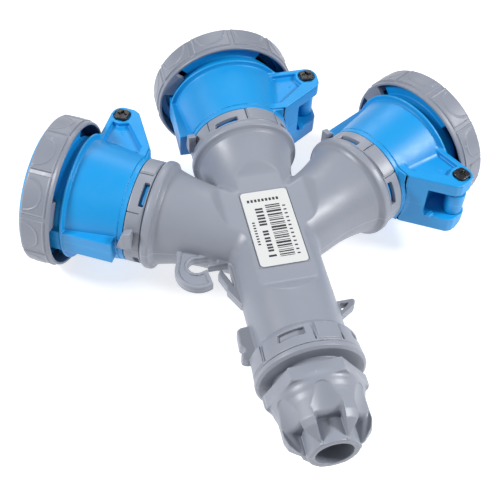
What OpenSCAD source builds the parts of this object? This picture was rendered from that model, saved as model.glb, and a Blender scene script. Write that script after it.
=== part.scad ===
// Three-way outlet splitter: a round trunk with a cable gland at one end and a
// hub that carries one straight and two angled 32 A outlets, each with a hinged
// lid that a bayonet ring locks. The origin is the centre of the gland's mouth,
// the straight outlet points along +Y and the labelled face looks along +Z.

/* [Layout] */
// Angle between the straight outlet and each side outlet, in degrees
side_angle = 61; // [60:0.5:62]
// Distance from the hub centre to the mouth of the gland
gland_reach = 143.3; // [143:0.1:144]
// Outside radius of the trunk
trunk_r = 26.5; // [26.2:0.1:27]
// Outside radius of the necks where they leave the hub
neck_r = 25; // [24.5:0.1:25.2]
// Height of the flat that carries the label, above the axes
label_z = 20.6; // [20:0.1:21]

/* [Outlet body] */
// Distance from the hub centre to the front of a neck
neck_front = 71.5; // [71:0.1:72]
// Outside radius of the outlet body at its rear
body_rear_r = 31.8; // [31.5:0.1:32]
// Outside radius of the outlet body behind its ridge
body_front_r = 35.8; // [35.5:0.1:36]
// Radius of the nose that a plug slides over
nose_r = 28.8; // [28.7:0.05:28.9]
// Distance from the hub centre to the front of the nose
nose_front = 136.5; // [136:0.1:136.8]
// Radius of the circle on which the contacts sit
contact_circle = 13; // [12.8:0.1:13.2]
// Bore radius of the line and neutral contacts
power_bore_r = 3.05; // [3.03:0.01:3.1]
// Bore radius of the earth contact
earth_bore_r = 4.05; // [4.03:0.01:4.1]

/* [Lid and ring] */
// Distance from the hub centre to the rear of the bayonet ring
ring_rear = 122.8; // [122.6:0.1:123]
// Width of the bayonet ring
ring_width = 18; // [17.8:0.1:18]
// Outside radius of the bayonet ring
ring_r = 46; // [45.8:0.1:46.2]
// Distance of the hinge pin along the outlet axis
pin_along = 110.7; // [110.6:0.1:110.8]
// Distance of the hinge pin from the outlet axis
pin_out = 50.3; // [50.2:0.1:50.4]
// Radius of the hinge pin
pin_r = 2.5; // [2.4:0.05:2.6]
// Number of wide grip panels round the ring
panels = 10; // [8:1:12]

/* [Gland] */
// Circumradius of the nut's hexagon
hex_r = 29.3; // [29:0.1:29.5]
// Turn of the hexagon about its axis, in degrees
hex_turn = 4.3; // [0:0.1:10]
// Radius of the cable opening
cable_r = 10.7; // [10.5:0.1:11]
// Radial running clearance of the nut on its neck
nut_clearance = 0.05; // [0.02:0.01:0.08]

/* [Hidden] */
$fn = 96;
gap = 0.3;
eps = 0.01;
over = 1;

// names and angles of the three outlets, clockwise from the straight one
side_left = -side_angle;
side_right = side_angle;

// colours
grey = [0.55, 0.56, 0.58];
blue = [0.1, 0.5, 0.85];
black = [0.1, 0.1, 0.11];
brass = [0.8, 0.66, 0.34];
steel = [0.75, 0.76, 0.78];
cream = [0.9, 0.89, 0.84];

// stations along an outlet axis
mouth_depth = 7.3;
mouth_r = 28.7;
spigot_r = 28.4;
spigot_rear = neck_front - mouth_depth + 1;
body_rear = neck_front + 10.8;
ridge_at = 118;
gap_floor = 103;
wall_front = 131;
wall_front_r = 33.4;
gap_r = 31.5;
nose_bore_r = 26.2;
ring_front = ring_rear + ring_width;
lug_rear = 126;
lug_front = 130;
lug_r = 41.3;
cam_thick = 2.8;
cam_r = 36.3;
ring_bore_r = 43.3;
ring_lip_r = 41.2;
ring_lip_len = 3.8;
lid_front = ring_front + 2.2;
lid_inside = 139.6;
seal_seat = 134.4;

// hinge bracket, heights above the outlet axis
plate_top = 24;
plate_low = 15;
foot_top = -7.3;
foot_low = -19;
boss_r = 7.2;
arm_low = -6;
arm_high = 8;
knuckle_low = -7;
knuckle_high = 8.5;
knuckle_r = 6;

// stations along the trunk, measured from the hub towards the gland
collar_start = 76;
trunk_end = 92.4;
carrier_start = 81;
carrier_r = 28.3;
flange_front = 97;
flange_r = 31.5;
gland_neck_r = 22.5;
gland_neck_end = 107.5;
seal_bore_r = 16;
nut_start = 101.4;
hex_end = 110;
nut_bore_end = 112.3;
thrust_bore_r = 15.6;
thrust_end = 126;
lobe_r = 24.4;
lobe_count = 6;

// angular places, from the hinge side towards the label side
window_starts = [12, 97, 192, 277];
window_angle = 28;
lug_starts = [57, 237];
lug_angle = 79;
cam_starts = [140, 320];
cam_angle = 24;

// tray for the label: half width, reach to the gland and to the straight outlet
tray_half = 25.6;
tray_near = 44.5;
tray_far = 37;
tray_cut = 12;

// terminal block and conductors
block_x = 34;
block_z = 22;
block_near = 20;
block_far = 52;
pole_pitch = 10;
layer_pitch = 6;
wire_r = 1.7;
wire_end = 93.6;

// contacts and their sleeves
contact_rear = 94;
power_front = 131;
earth_front = 132.3;
power_contact_r = 4.4;
earth_contact_r = 5.4;
power_sleeve_r = 6;
earth_sleeve_r = 7;
sleeve_rear = 104;
carrier_face = nose_front - 2;
face_thick = 2;

// ---- frames ----

// moves the hub centre to its place behind the gland's mouth
module at_hub() {
  translate([0, gland_reach, 0]) children();
}

// outlet frame: X to the hinge, Y along the outlet, Z to the label side
module at_outlet(angle) {
  at_hub() rotate([0, 0, -angle]) children();
}

// turns a shape of revolution about Z onto the outlet axis, Y of the shape up
module along_outlet() {
  rotate([-90, 0, 0]) mirror([0, 1, 0]) children();
}

// turns a shape of revolution about Z onto the trunk axis, Y of the shape up
module along_trunk() {
  at_hub() rotate([90, 0, 0]) children();
}

// part of a ring: radii r0 to r1, stations z0 to z1, from an angle over a sweep
module arc_block(r0, r1, z0, z1, from, sweep) {
  rotate([0, 0, from])
    rotate_extrude(angle = sweep)
      translate([r0, z0]) square([r1 - r0, z1 - z0]);
}

// plain tube between two stations
module tube(r_out, r_in, z0, z1) {
  difference() {
    translate([0, 0, z0]) cylinder(r = r_out, h = z1 - z0);
    translate([0, 0, z0 - over]) cylinder(r = r_in, h = z1 - z0 + 2 * over);
  }
}

// round rubber ring
module o_ring(major, minor, station) {
  translate([0, 0, station]) rotate_extrude() translate([major, 0]) circle(r = minor);
}

// ---- swept wires and springs ----

function unit(v) = v / norm(v);
function bezier(p, q, r, s, t) =
  pow(1 - t, 3) * p + 3 * t * pow(1 - t, 2) * q + 3 * t * t * (1 - t) * r + pow(t, 3) * s;

// closed tube of n sides through the points of a path
module swept_tube(path, r, n = 8) {
  last = len(path) - 1;
  rings = [
    for (i = [0 : last])
      let (
        along = unit(path[min(i + 1, last)] - path[max(i - 1, 0)]),
        side = unit(cross(along, [0.02, 0.03, 1])),
        up = cross(side, along)
      )
      [for (k = [0 : n - 1])
        path[i] + r * (cos(360 * k / n) * side + sin(360 * k / n) * up)]
  ];
  walls = [
    for (i = [0 : last - 1], k = [0 : n - 1])
      let (a = i * n + k, b = i * n + (k + 1) % n)
      [a, b, b + n, a + n]
  ];
  near_cap = [[for (k = [n - 1 : -1 : 0]) k]];
  far_cap = [[for (k = [0 : n - 1]) last * n + k]];
  polyhedron(
    points = [for (ring = rings) each ring],
    faces = concat(walls, near_cap, far_cap)
  );
}

// ---- housing ----

// outside of one neck, from the hub centre to its bead
module neck_outside(root_r) {
  along_outlet() rotate_extrude() polygon([
    [0, 0], [root_r, 0], [root_r, 42], [28, 60], [30.9, 63.6], [33.4, 66],
    [33.4, neck_front - 1.5], [32.4, neck_front], [0, neck_front]
  ]);
}

module neck_inside() {
  along_outlet() rotate_extrude() polygon([
    [0, 0], [21.5, 0], [21.5, 42], [24.5, 60], [24.5, neck_front - mouth_depth],
    [mouth_r, neck_front - mouth_depth], [mouth_r, neck_front + over], [0, neck_front + over]
  ]);
}

module trunk_outside() {
  along_trunk() rotate_extrude() polygon([
    [0, 0], [trunk_r, 0], [trunk_r, collar_start], [29.8, 79.5], [30.4, 81],
    [31.2, trunk_end], [0, trunk_end]
  ]);
}

module trunk_inside() {
  along_trunk() rotate_extrude() polygon([
    [0, 0], [23.5, 0], [23.5, 78], [carrier_r + gap, carrier_start - 0.4],
    [carrier_r + gap, trunk_end + over], [0, trunk_end + over]
  ]);
}

// flat hanging hook between the left neck and the trunk
module hook() {
  at_hub() translate([0, 0, -3]) linear_extrude(6) difference() {
    union() {
      translate([-46.5, -13.5]) circle(r = 13.7);
      polygon([[-53, 10], [-60.2, -13.5], [-46, -14], [-26, -14], [-24, 4]]);
    }
    translate([-46.8, -11]) circle(r = 5.2);
    translate([-46.8, -13]) square([17.3, 7]);
    translate([-41.5, -40]) square([30, 34]);
  }
}

// springy prong that closes the hook, and the bar beside it
module prong() {
  at_hub() translate([0, 0, -3]) linear_extrude(6) union() {
    polygon([
      [-24, -43], [-27.2, -43.6], [-33.2, -32], [-32.8, -29.4], [-36, -20],
      [-33.6, -15.6], [-29.2, -27], [-24, -33]
    ]);
    polygon([[-24, -9], [-28.3, -9], [-28.3, -34], [-24, -34]]);
  }
}

// hollow triangular rib on the other side of the trunk
module side_rib() {
  at_hub() translate([0, 0, -3]) linear_extrude(6) difference() {
    polygon([[24, -51.7], [36.6, -51.4], [37.7, -52.8], [36, -56.6], [26.9, -62.4], [24, -62.4]]);
    polygon([[28, -53.6], [33.4, -53.8], [28, -58.4]]);
  }
}

// flat tab with one rounded corner beside the trunk's collar
module side_tab() {
  at_hub() translate([0, 0, -4]) linear_extrude(8) union() {
    polygon([[-24, -57.7], [-33.6, -59.5], [-34.6, -70.5], [-32.4, -73.6], [-24, -75]]);
    translate([-32.6, -60.9]) circle(r = 1.6);
    translate([-32.4, -77.5]) circle(r = 3);
    polygon([[-24, -71], [-32.4, -73], [-33.6, -80], [-24, -80]]);
  }
}

// one direction of the tray: a flat floor from one place to another, with sloping ends
module tray_profile(from, to) {
  slope = 1.5;
  polygon([
    [from, label_z], [to, label_z],
    [to + slope * tray_cut, label_z + tray_cut], [from - slope * tray_cut, label_z + tray_cut]
  ]);
}

// shallow tray across the hub that carries the label
module label_tray() {
  at_hub() intersection() {
    rotate([90, 0, 0]) translate([0, 0, -80]) linear_extrude(160) tray_profile(-tray_half, tray_half);
    rotate([90, 0, 90]) translate([0, 0, -80]) linear_extrude(160) tray_profile(-tray_near, tray_far);
  }
}

module windows(r, z0, z1) {
  for (from = window_starts) arc_block(r - 4, r + 4, z0, z1, from, window_angle);
}

module housing() {
  color(grey) difference() {
    union() {
      at_hub() sphere(r = trunk_r + 0.6);
      trunk_outside();
      at_outlet(0) neck_outside(neck_r);
      at_outlet(side_left) neck_outside(neck_r - 0.4);
      at_outlet(side_right) neck_outside(neck_r - 0.4);
      hook();
      prong();
      side_rib();
      side_tab();
    }
    difference() {
      union() {
        at_hub() sphere(r = 23);
        trunk_inside();
        at_outlet(0) neck_inside();
        at_outlet(side_left) neck_inside();
        at_outlet(side_right) neck_inside();
      }
      // wall kept under the tray
      at_hub() translate([-34, -56, label_z - 2.2]) cube([68, 102, 10]);
    }
    label_tray();
    // windows for the gland body's catches
    along_trunk() windows(29.5, 82, 86);
  }
}

module type_label() {
  color("white") at_hub() translate([-14.2, -32.6, label_z]) cube([28.4, 55.4, 0.3]);
}

// ---- outlet body ----

// outline of the hinge bracket seen from above
module bracket_outline() {
  polygon([
    [16, 83], [28.3, 84.2], [55.6, 101.3], [57.3, 104.5], [57.5, pin_along],
    [50.3, 117.4], [16, 117.4]
  ]);
  translate([pin_out, pin_along]) circle(r = boss_r);
}

module bracket() {
  difference() {
    translate([0, 0, foot_low]) linear_extrude(plate_top - foot_low) bracket_outline();
    // room for the knuckle, open to the front and the far side
    translate([0, 0, foot_top]) linear_extrude(plate_low - foot_top) polygon([
      [30, 88.2], [40.5, 94.9], [42, 91], [70, 100], [70, 125], [30, 125]
    ]);
    // recessed pocket in the top plate
    translate([0, 0, plate_top - 3]) linear_extrude(4) polygon([
      [20, 114.6], [44, 114.6], [43, 110], [45.5, 104.5], [29, 90.6], [20, 90]
    ]);
    // pin bore and seat of its head
    translate([pin_out, pin_along, foot_low - over])
      cylinder(r = pin_r + 0.02, h = plate_top - foot_low + 2 * over);
    translate([pin_out, pin_along, plate_top - 0.8]) cylinder(r = 4.8, h = 2);
    // chamfer under the foot
    translate([0, 0, foot_low]) rotate([0, 0, 32]) translate([70, 60, 0])
      rotate([0, 45, 0]) cube([6, 80, 6], center = true);
  }
}

module socket_body(angle) {
  color(blue) at_outlet(angle) difference() {
    union() {
      along_outlet() rotate_extrude() polygon([
        [0, spigot_rear], [spigot_r, spigot_rear], [spigot_r, body_rear],
        [body_rear_r, body_rear], [body_rear_r, body_rear + 1.7],
        [body_front_r, ridge_at - 1.5], [36.8, ridge_at - 1], [38.9, ridge_at - 0.6],
        [38.9, ridge_at + 0.8], [36.4, ridge_at + 1.2], [34, ridge_at + 3.5],
        [wall_front_r, wall_front], [0, wall_front]
      ]);
      along_outlet() translate([0, 0, wall_front - over])
        cylinder(r = nose_r, h = nose_front - wall_front + over);
      bracket();
      // key ridge on the side away from the hinge
      translate([-37.8, 86.6, -8.5]) cube([8, 39.6, 17]);
      along_outlet() for (from = lug_starts)
        arc_block(33, lug_r, lug_rear, lug_front, from, lug_angle);
      // catches that show in the collar's windows
      along_outlet() for (from = window_starts)
        arc_block(27, 30.6, neck_front + 1.6, neck_front + 4.6, from + 1, window_angle - 2);
    }
    // groove round the nose
    along_outlet() tube(gap_r, nose_r, gap_floor, wall_front + 0.5 + over);
    // inside of the nose and of the rear
    along_outlet() rotate_extrude() polygon([
      [0, spigot_rear - over], [25.6, spigot_rear - over], [25.6, 84], [29, 87],
      [29.6, 98], [nose_bore_r, 98], [nose_bore_r, nose_front + over], [0, nose_front + over]
    ]);
    // groove for the neck seal
    along_outlet() tube(spigot_r + over, 27.2, spigot_rear + 1.4, spigot_rear + 3.8);
    // slot for the plug's key
    translate([-35.6, gap_floor, -3]) cube([6, 40, 6]);
    // relief in the ridge where the lid's arm passes
    translate([36.9, 116.5, -11]) cube([6, 6, 22]);
  }
}

// ---- lid, gasket and ring ----

module lid(angle) {
  color(blue) at_outlet(angle) difference() {
    union() {
      along_outlet() rotate_extrude() polygon([
        [0, lid_inside], [30.2, lid_inside], [30.2, seal_seat], [34.6, seal_seat],
        [34.6, lid_inside], [38.2, lid_inside], [38.2, 133.8], [42.9, 133.8],
        [42.9, 136.6], [40.9, 136.6], [40.9, ring_front + 0.2], [44, ring_front + 0.2],
        [44, lid_front - 0.8], [43.2, lid_front], [0, lid_front]
      ]);
      translate([0, 0, arm_low]) linear_extrude(arm_high - arm_low) polygon([
        [39.3, 135], [42, 135], [42, 121.9], [47, 119.2], [53.5, 115.8],
        [pin_out, pin_along], [44.6, 112.5], [39.3, 117.5]
      ]);
      translate([pin_out, pin_along, knuckle_low])
        cylinder(r = knuckle_r, h = knuckle_high - knuckle_low);
    }
    translate([pin_out, pin_along, knuckle_low - over])
      cylinder(r = pin_r + 0.05, h = knuckle_high - knuckle_low + 2 * over);
  }
}

module gasket(angle) {
  color(black) at_outlet(angle) along_outlet() tube(34.2, 30.7, wall_front + gap, seal_seat - 0.05);
}

module bayonet_ring(angle) {
  color(grey) at_outlet(angle) along_outlet() difference() {
    union() {
      rotate_extrude() polygon([
        [ring_bore_r, ring_rear], [ring_r - 0.8, ring_rear], [ring_r, ring_rear + 1],
        [ring_r, ring_front - 1], [ring_r - 0.8, ring_front], [ring_lip_r, ring_front],
        [ring_lip_r, ring_front - ring_lip_len], [ring_bore_r, ring_front - ring_lip_len]
      ]);
      for (from = cam_starts)
        arc_block(cam_r, ring_bore_r + 0.5, ring_rear, ring_rear + cam_thick, from, cam_angle);
    }
    // grip panels are parted by shallow grooves
    for (k = [0 : panels])
      rotate([0, 0, 16 + 344 * k / panels])
        translate([ring_r - 0.5, -0.5, ring_rear + 3]) cube([2, 1, ring_width]);
  }
}

// ---- hinge pin and spring ----

module pin(angle) {
  color(black) at_outlet(angle) translate([pin_out, pin_along, 0]) difference() {
    union() {
      translate([0, 0, foot_low + 0.5]) cylinder(r = pin_r, h = plate_top - foot_low - 1);
      translate([0, 0, plate_top - 0.7]) cylinder(r = 4.6, h = 1.9);
    }
    translate([0, 0, plate_top]) cylinder(r = 2.2, h = 3, $fn = 6);
  }
}

module spring(angle) {
  turns = 4;
  steps = 18;
  coil_r = 4.4;
  wire = 0.5;
  low = knuckle_high + 0.9;
  rise = plate_low - low - 1;
  coil = [
    for (i = [0 : turns * steps])
      let (turn = 360 * i / steps + 150)
      [coil_r * cos(turn), coil_r * sin(turn), low + rise * i / (turns * steps)]
  ];
  color(steel) at_outlet(angle) translate([pin_out, pin_along, 0]) swept_tube(coil, wire, 6);
}

// ---- collar and neck seal ----

module collar(angle) {
  inner = spigot_r + 0.4;
  outer = body_rear_r;
  color(grey) at_outlet(angle) {
    difference() {
      union() {
        along_outlet() tube(outer, inner, neck_front + gap, body_rear - gap);
        // pointer that shows the locked position
        translate([-34.4, 0, 0]) rotate([90, 0, 90]) linear_extrude(4.6) polygon([
          [75.4, 19], [75.4, 5], [81.9, 3], [81.9, 13.6], [80, 17]
        ]);
        translate([-34.4, 0, 0]) rotate([90, 0, 90]) linear_extrude(1.8) polygon([
          [80, 17], [81.9, 3], [85.2, 3], [82.6, 11]
        ]);
      }
      along_outlet() tube(inner, inner - 12, neck_front - over, 90);
      along_outlet() windows(30.5, neck_front + 1.3, neck_front + 4.9);
    }
  }
}

module neck_seal(angle) {
  color(black) at_outlet(angle) along_outlet() o_ring(27.95, 0.7, spigot_rear + 2.6);
}

// ---- contacts ----

// places a shape on the three contact positions: earth, then line and neutral
module at_contact(turn) {
  rotate([0, 0, turn]) translate([contact_circle, 0, 0]) children();
}

// face plate of the carrier, with an entry hole in front of each contact
module insert(angle) {
  color(cream) at_outlet(angle) along_outlet() difference() {
    translate([0, 0, carrier_face - face_thick])
      cylinder(r = nose_bore_r - 0.2, h = face_thick);
    for (turn = [60, -60])
      at_contact(turn) translate([0, 0, 100]) cylinder(r = power_bore_r + gap, h = 60);
    at_contact(180) translate([0, 0, 100]) cylinder(r = earth_bore_r + gap, h = 60);
  }
}

// insulating sleeve round each contact, up to the back of the face plate
module sleeves(angle) {
  front = carrier_face - face_thick - 0.1;
  color(cream) at_outlet(angle) along_outlet() {
    for (turn = [60, -60])
      at_contact(turn) tube(power_sleeve_r, power_contact_r + 0.1, sleeve_rear, front);
    at_contact(180) tube(earth_sleeve_r, earth_contact_r + 0.1, sleeve_rear, front);
  }
}

// one turned sleeve with a slit front and a solid terminal end
module contact(r_out, r_bore, front) {
  difference() {
    translate([0, 0, contact_rear]) cylinder(r = r_out, h = front - contact_rear);
    translate([0, 0, 104]) cylinder(r = r_bore, h = 60);
    translate([-0.4, -10, 112]) cube([0.8, 20, 60]);
    translate([0, 0, contact_rear - over]) cylinder(r = 1.7, h = 7);
    translate([0, 0, 98]) rotate([0, 90, 0]) cylinder(r = 1.8, h = 20);
  }
}

module contacts(angle) {
  color(brass) at_outlet(angle) along_outlet() {
    for (turn = [60, -60]) at_contact(turn) contact(power_contact_r, power_bore_r, power_front);
    at_contact(180) contact(earth_contact_r, earth_bore_r, earth_front);
  }
}

module screws(angle) {
  color(steel) at_outlet(angle) along_outlet()
    for (turn = [60, -60, 180]) at_contact(turn) difference() {
      translate([0.6, 0, 98]) rotate([0, 90, 0]) cylinder(r = 1.75, h = 7.4);
      translate([7.2, -2, 97.6]) cube([2, 4, 0.8]);
    }
}

// ---- conductors ----

// place of one contact behind its carrier, seen from the hub centre
function contact_point(angle, turn, along) =
  let (b = contact_circle * cos(turn), c = contact_circle * sin(turn))
  [along * sin(angle) + b * cos(angle), along * cos(angle) - b * sin(angle), c];

// conductor from a pole of the block to a contact, in a smooth curve
module conductor(pole, layer, angle, turn) {
  start = [pole * pole_pitch, -block_near + 0.2, layer * layer_pitch];
  end = contact_point(angle, turn, wire_end);
  leave = start + [0, 34, 0];
  arrive = contact_point(angle, turn, 42);
  path = [for (i = [0 : 16]) bezier(start, leave, arrive, end, i / 16)];
  swept_tube(path, wire_r);
}

// the three conductors of one pole; layers give the row of the block that each leaves from
module wires(pole, layers, turn, shade) {
  color(shade) at_hub() {
    conductor(pole, layers[0], side_left, turn);
    conductor(pole, layers[1], 0, turn);
    conductor(pole, layers[2], side_right, turn);
  }
}

// ---- terminal block ----

module terminal_block() {
  color(cream) at_hub() difference() {
    translate([-block_x / 2, -block_far, -block_z / 2])
      cube([block_x, block_far - block_near, block_z]);
    for (pole = [-1, 0, 1])
      translate([pole * pole_pitch - 3.6, -block_far + 2, -9]) cube([7.2, 28, 18]);
    for (pole = [-1, 0, 1], layer = [-1, 0, 1])
      translate([pole * pole_pitch, -block_near - 4, layer * layer_pitch])
        rotate([-90, 0, 0]) cylinder(r = 1.7, h = 8);
    for (pole = [-1, 0, 1]) {
      translate([pole * pole_pitch, -block_far - over, 0])
        rotate([-90, 0, 0]) cylinder(r = 3.2, h = 6);
      for (y = [-45, -27])
        translate([pole * pole_pitch, y, 0]) cylinder(r = 2.6, h = 20);
    }
  }
}

module block_bars() {
  color(brass) at_hub() for (pole = [-1, 0, 1]) difference() {
    translate([pole * pole_pitch - 3.4, -49.6, -8.6]) cube([6.8, 27.2, 17.2]);
    translate([pole * pole_pitch, -60, 0]) rotate([-90, 0, 0]) cylinder(r = 2.6, h = 22);
    for (layer = [-1, 0, 1])
      translate([pole * pole_pitch, -30, layer * layer_pitch])
        rotate([-90, 0, 0]) cylinder(r = 1.8, h = 20);
    for (y = [-45, -27])
      translate([pole * pole_pitch, y, 1]) cylinder(r = 1.8, h = 20);
  }
}

module block_screws() {
  color(steel) at_hub() for (pole = [-1, 0, 1], y = [-45, -27])
    translate([pole * pole_pitch, y, 1.5]) difference() {
      cylinder(r = 1.75, h = 8.6);
      translate([-2, -0.4, 7.8]) cube([4, 0.8, 2]);
    }
}

// ---- gland ----

module gland_body() {
  color(grey) along_trunk() difference() {
    union() {
      rotate_extrude() polygon([
        [0, carrier_start], [carrier_r, carrier_start], [carrier_r, trunk_end + 0.2],
        [flange_r, trunk_end + 0.2], [flange_r, flange_front - 1.4],
        [flange_r - 1.6, flange_front], [gland_neck_r, flange_front],
        [gland_neck_r, gland_neck_end], [0, gland_neck_end]
      ]);
      for (from = window_starts)
        arc_block(27, 29.8, 82.4, 85.6, from + 1, window_angle - 2);
    }
    rotate_extrude() polygon([
      [0, carrier_start - over], [24.5, carrier_start - over], [24.5, 84], [11, 86],
      [11, 88], [seal_bore_r, 88], [seal_bore_r, gland_neck_end + over],
      [0, gland_neck_end + over]
    ]);
    tube(carrier_r + over, 27.1, 88, 90.4);
  }
}

module gland_o_ring() {
  color(black) along_trunk() o_ring(27.84, 0.7, 89.2);
}

module gland_seal() {
  color(black) along_trunk() rotate_extrude() polygon([
    [9.2, 90], [11, 88.2], [seal_bore_r - 0.2, 88.2], [seal_bore_r - 0.2, 105.4],
    [14, 106.8], [11, 106.8], [9.2, 105]
  ]);
}

module thrust_ring() {
  color(black) along_trunk() rotate_extrude() polygon([
    [11.4, 110.4], [13.6, 110.4], [15.2, 112], [15.2, thrust_end - 0.2], [11.4, thrust_end - 0.2]
  ]);
}

// one hollow between two lobes, with a slanting floor and a deep front
module lobe_hollow() {
  translate([0, 0, 112]) rotate([0, 22, 0]) translate([lobe_r + 0.2, -7, 0]) cube([12, 14, 17]);
  translate([14, -6.2, thrust_end + 1.6]) cube([20, 12.4, 30]);
}

module gland_nut() {
  outside = [
    [0, nut_start + 2], [27.5, hex_end], [25.2, hex_end + 2], [lobe_r, hex_end + 6],
    [lobe_r, 130], [22.8, 134.5], [17.4, 140], [14.2, 141.6], [14.2, gland_reach - 0.4],
    [13.8, gland_reach], [0, gland_reach]
  ];
  color(grey) along_trunk() difference() {
    union() {
      rotate([0, 0, hex_turn]) translate([0, 0, nut_start])
        cylinder(r = hex_r, h = hex_end - nut_start, $fn = 6);
      difference() {
        rotate_extrude() polygon(outside);
        for (k = [0 : lobe_count - 1])
          rotate([0, 0, hex_turn + 30 + 360 * k / lobe_count]) lobe_hollow();
      }
      translate([0, 0, thrust_end]) cylinder(r = 14.2, h = gland_reach - thrust_end);
    }
    translate([0, 0, nut_start - over])
      cylinder(r = gland_neck_r + nut_clearance, h = nut_bore_end - nut_start + over);
    translate([0, 0, nut_start]) cylinder(r = thrust_bore_r, h = thrust_end - nut_start);
    translate([0, 0, nut_start]) cylinder(r = cable_r, h = gland_reach);
  }
}

// ---- one line per node ----

housing();
type_label();
socket_body(side_left);  // socket_left
socket_body(0);  // socket_centre
socket_body(side_right);  // socket_right
lid(side_left);  // lid_left
lid(0);  // lid_centre
lid(side_right);  // lid_right
gasket(side_left);  // gasket_left
gasket(0);  // gasket_centre
gasket(side_right);  // gasket_right
bayonet_ring(side_left);  // ring_left
bayonet_ring(0);  // ring_centre
bayonet_ring(side_right);  // ring_right
pin(side_left);  // pin_left
pin(0);  // pin_centre
pin(side_right);  // pin_right
spring(side_left);  // spring_left
spring(0);  // spring_centre
spring(side_right);  // spring_right
collar(side_left);  // collar_left
collar(0);  // collar_centre
collar(side_right);  // collar_right
neck_seal(side_left);  // neck_seal_left
neck_seal(0);  // neck_seal_centre
neck_seal(side_right);  // neck_seal_right
insert(side_left);  // insert_left
insert(0);  // insert_centre
insert(side_right);  // insert_right
sleeves(side_left);  // sleeves_left
sleeves(0);  // sleeves_centre
sleeves(side_right);  // sleeves_right
contacts(side_left);  // contacts_left
contacts(0);  // contacts_centre
contacts(side_right);  // contacts_right
screws(side_left);  // screws_left
screws(0);  // screws_centre
screws(side_right);  // screws_right
wires(1, [1, 0, -1], 60, "saddlebrown");  // wires_line
wires(0, [0, 1, -1], -60, "royalblue");  // wires_neutral
wires(-1, [0, 1, -1], 180, "yellowgreen");  // wires_earth
terminal_block();
block_bars();
block_screws();
gland_body();
gland_o_ring();
gland_seal();
thrust_ring();
gland_nut();
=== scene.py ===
import math

import bpy
import numpy as np
from mathutils import Matrix, Vector


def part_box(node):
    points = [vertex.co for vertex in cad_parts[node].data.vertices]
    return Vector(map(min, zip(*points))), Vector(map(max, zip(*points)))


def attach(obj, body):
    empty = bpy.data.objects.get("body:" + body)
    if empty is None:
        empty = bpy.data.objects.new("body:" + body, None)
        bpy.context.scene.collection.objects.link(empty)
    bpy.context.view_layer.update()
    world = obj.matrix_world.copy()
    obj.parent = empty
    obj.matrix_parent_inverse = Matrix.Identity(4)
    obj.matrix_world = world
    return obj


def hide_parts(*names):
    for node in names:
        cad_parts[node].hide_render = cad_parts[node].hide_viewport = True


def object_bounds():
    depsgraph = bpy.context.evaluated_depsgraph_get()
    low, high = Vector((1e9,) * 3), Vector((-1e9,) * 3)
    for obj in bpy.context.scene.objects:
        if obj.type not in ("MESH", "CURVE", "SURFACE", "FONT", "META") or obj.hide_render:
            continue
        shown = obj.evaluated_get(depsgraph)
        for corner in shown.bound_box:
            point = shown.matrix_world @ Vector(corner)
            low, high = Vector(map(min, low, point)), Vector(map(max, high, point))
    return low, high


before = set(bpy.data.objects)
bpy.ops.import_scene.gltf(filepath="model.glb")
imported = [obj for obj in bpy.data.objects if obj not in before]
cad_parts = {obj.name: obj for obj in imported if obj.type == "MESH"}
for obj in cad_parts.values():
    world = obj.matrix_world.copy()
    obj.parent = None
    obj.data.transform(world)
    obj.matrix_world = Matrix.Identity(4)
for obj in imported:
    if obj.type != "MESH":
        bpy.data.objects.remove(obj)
cad_low, cad_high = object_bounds()


# ------------------------------------------------------------------ housing
# The main moulding: a trunk, a hub and three flared necks in one piece of grey
# glass-filled polyamide, with a hook, a prong and two ribs beside the trunk.
# It is shot in one tool, so its walls are about 3 mm and every edge is eased.

mm = 0.001
ring_front = 140.8
hub = Vector((0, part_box("ring_centre")[1].y - ring_front * mm, 0))
at_hub = Matrix.Translation(hub)
sides = ("left", "centre", "right")


def both(a, b, edge=0.4):
    """What two distance fields share, with the edge between them rounded."""
    corner = np.hypot(np.maximum(edge + a, 0), np.maximum(edge + b, 0))
    return np.minimum(-edge, np.maximum(a, b)) + corner


def join(a, b, fillet=0.6):
    """Two distance fields together, with a fillet where they meet."""
    return -both(-a, -b, fillet)


def cut(a, b, edge=0.4):
    """The first distance field less the second."""
    return both(a, -b, edge)


def outline(u, v, corners):
    """Signed distance to a closed outline with straight sides."""
    nearest = np.full(np.shape(u), 1e9)
    sign = np.ones(np.shape(u))
    for (ax, ay), (bx, by) in zip(corners, corners[1:] + corners[:1]):
        ex, ey = bx - ax, by - ay
        wx, wy = u - ax, v - ay
        t = np.clip((wx * ex + wy * ey) / (ex * ex + ey * ey), 0, 1)
        nearest = np.minimum(nearest, (wx - t * ex) ** 2 + (wy - t * ey) ** 2)
        crosses = (ay > v) != (by > v)
        sign = np.where(crosses & (wx < ex * wy / (ey or 1e-9)), -sign, sign)
    return sign * np.sqrt(nearest)


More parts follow.
